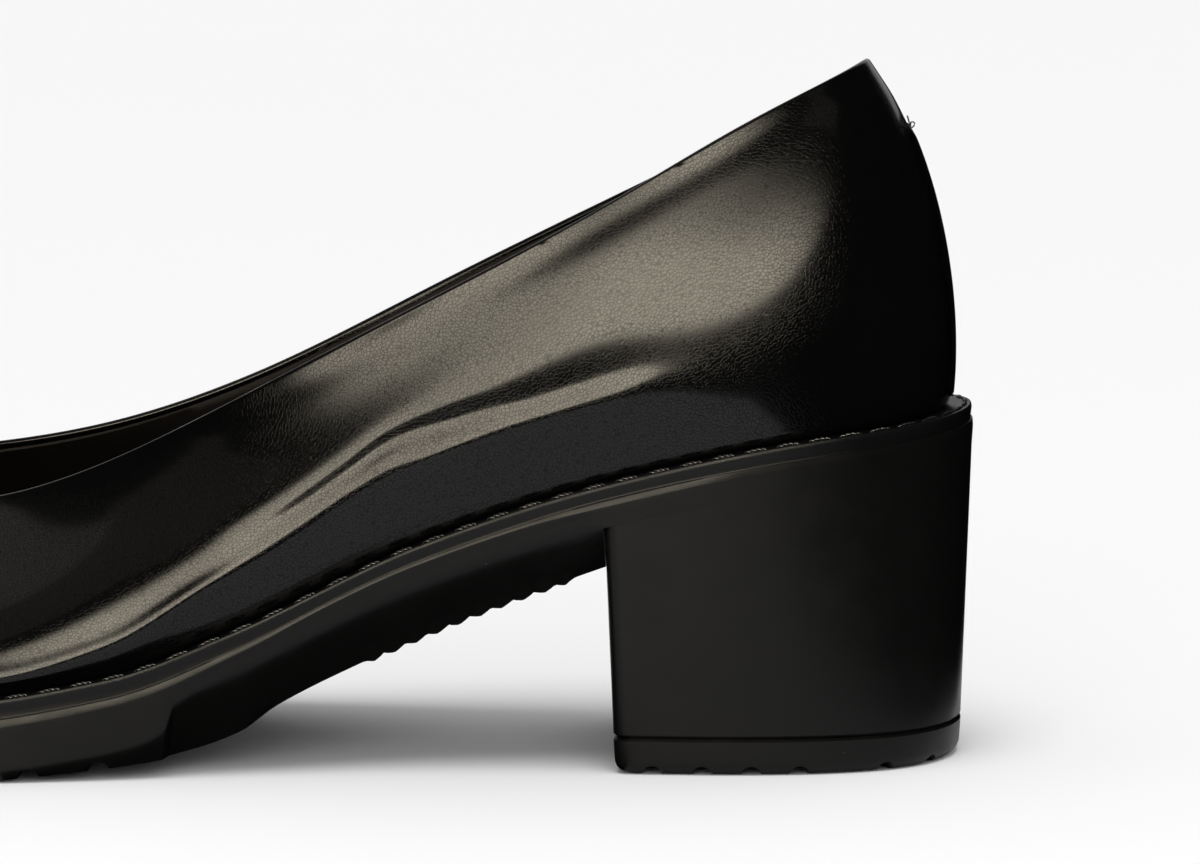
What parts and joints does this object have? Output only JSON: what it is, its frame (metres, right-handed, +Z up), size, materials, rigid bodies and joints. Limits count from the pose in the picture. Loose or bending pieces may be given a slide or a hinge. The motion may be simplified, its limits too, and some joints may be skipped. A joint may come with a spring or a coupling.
{
  "type": "block heel pump",
  "caption": "Right-foot leather court shoe with an open collar, a stitched welt, an undercut rubber outsole and a tall block heel; worn on the foot.",
  "frame": {"origin": "on the floor, under the middle of the shoe's bounding box", "axes": "+X from the toe towards the heel, +Y towards the outer side of the foot, +Z up"},
  "size_m": [0.2424, 0.0876, 0.1149],
  "materials": {
    "upper_leather": "black smooth leather with a fine grain and a soft gloss",
    "insole_sock": "matte black lining leather",
    "welt_strip": "satin black strip",
    "sole_rubber": "matte black moulded rubber",
    "tip_rubber": "matte black hard rubber"
  },
  "bodies": {
    "root": {"upper": "upper_leather", "insole": "insole_sock", "welt": "welt_strip", "outsole": "sole_rubber", "heel": "sole_rubber", "heel_tip": "tip_rubber"}
  },
  "joints": []
}
